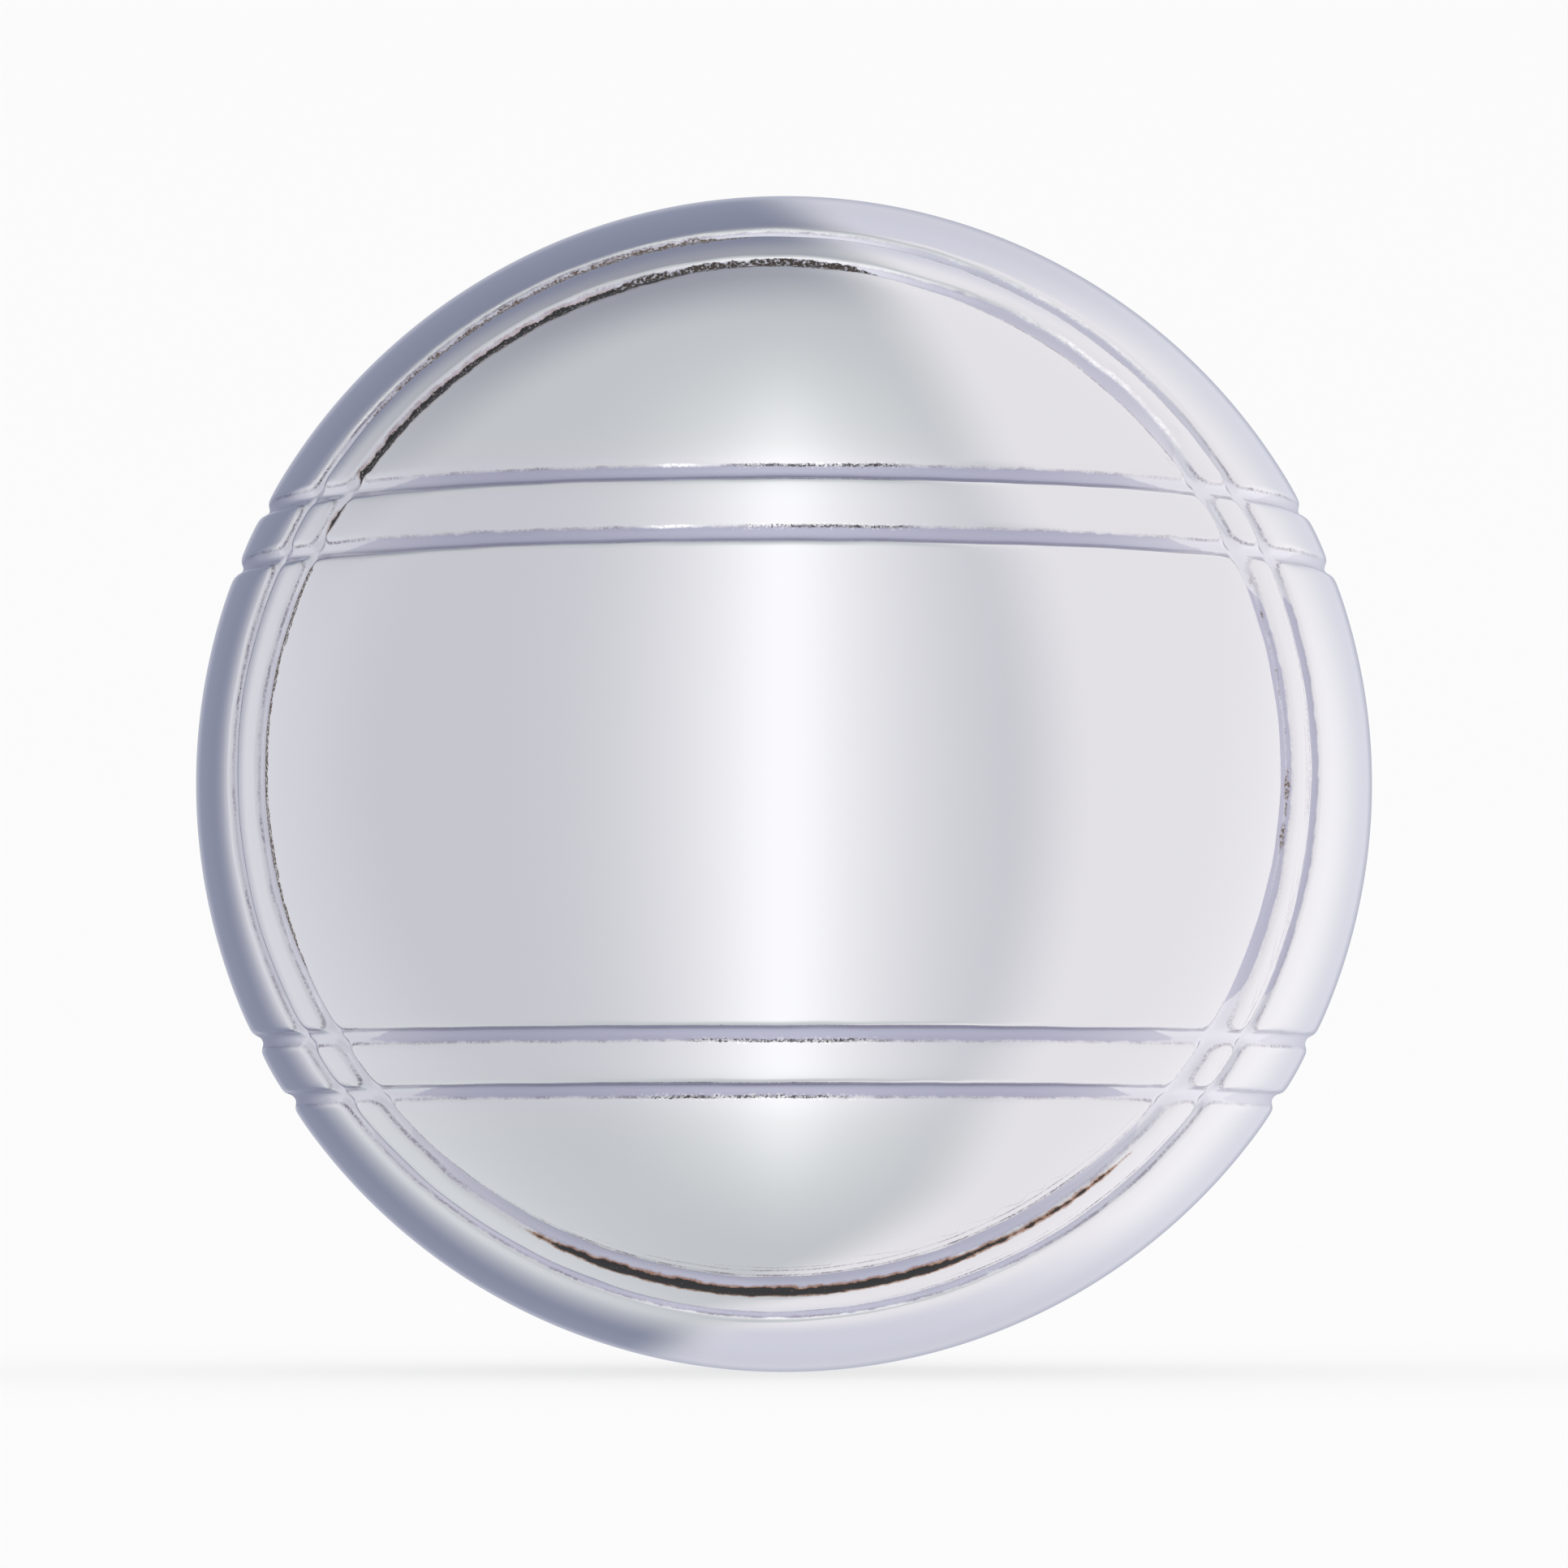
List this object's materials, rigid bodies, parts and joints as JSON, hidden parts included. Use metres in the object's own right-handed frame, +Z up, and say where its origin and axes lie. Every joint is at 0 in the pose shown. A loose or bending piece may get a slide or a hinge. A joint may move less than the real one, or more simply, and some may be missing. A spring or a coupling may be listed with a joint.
{
  "type": "petanque boule",
  "caption": "Chrome-plated steel petanque boule: a welded shell round a cast mortar core, with level and upright grooves turned in its polished surface.",
  "frame": {"origin": "centre of the ball", "axes": "+Z up, square to the level grooves; -Y to the front, square to the upright grooves and through the middle of the front half shell; +X to the right seen from the front"},
  "size_m": [0.065, 0.065, 0.065],
  "materials": {
    "chrome_shell": "bright chrome plate on polished steel, soft polishing swirls, faint wear along the groove edges",
    "chrome_weld": "weld bead ground flush, polished and plated with the shells",
    "mortar": "cast cement mortar, matt, fine sand grain and small air pits"
  },
  "bodies": {
    "root": {"front_shell": "chrome_shell", "back_shell": "chrome_shell", "seam_weld": "chrome_weld", "mortar_core": "mortar"}
  },
  "joints": []
}
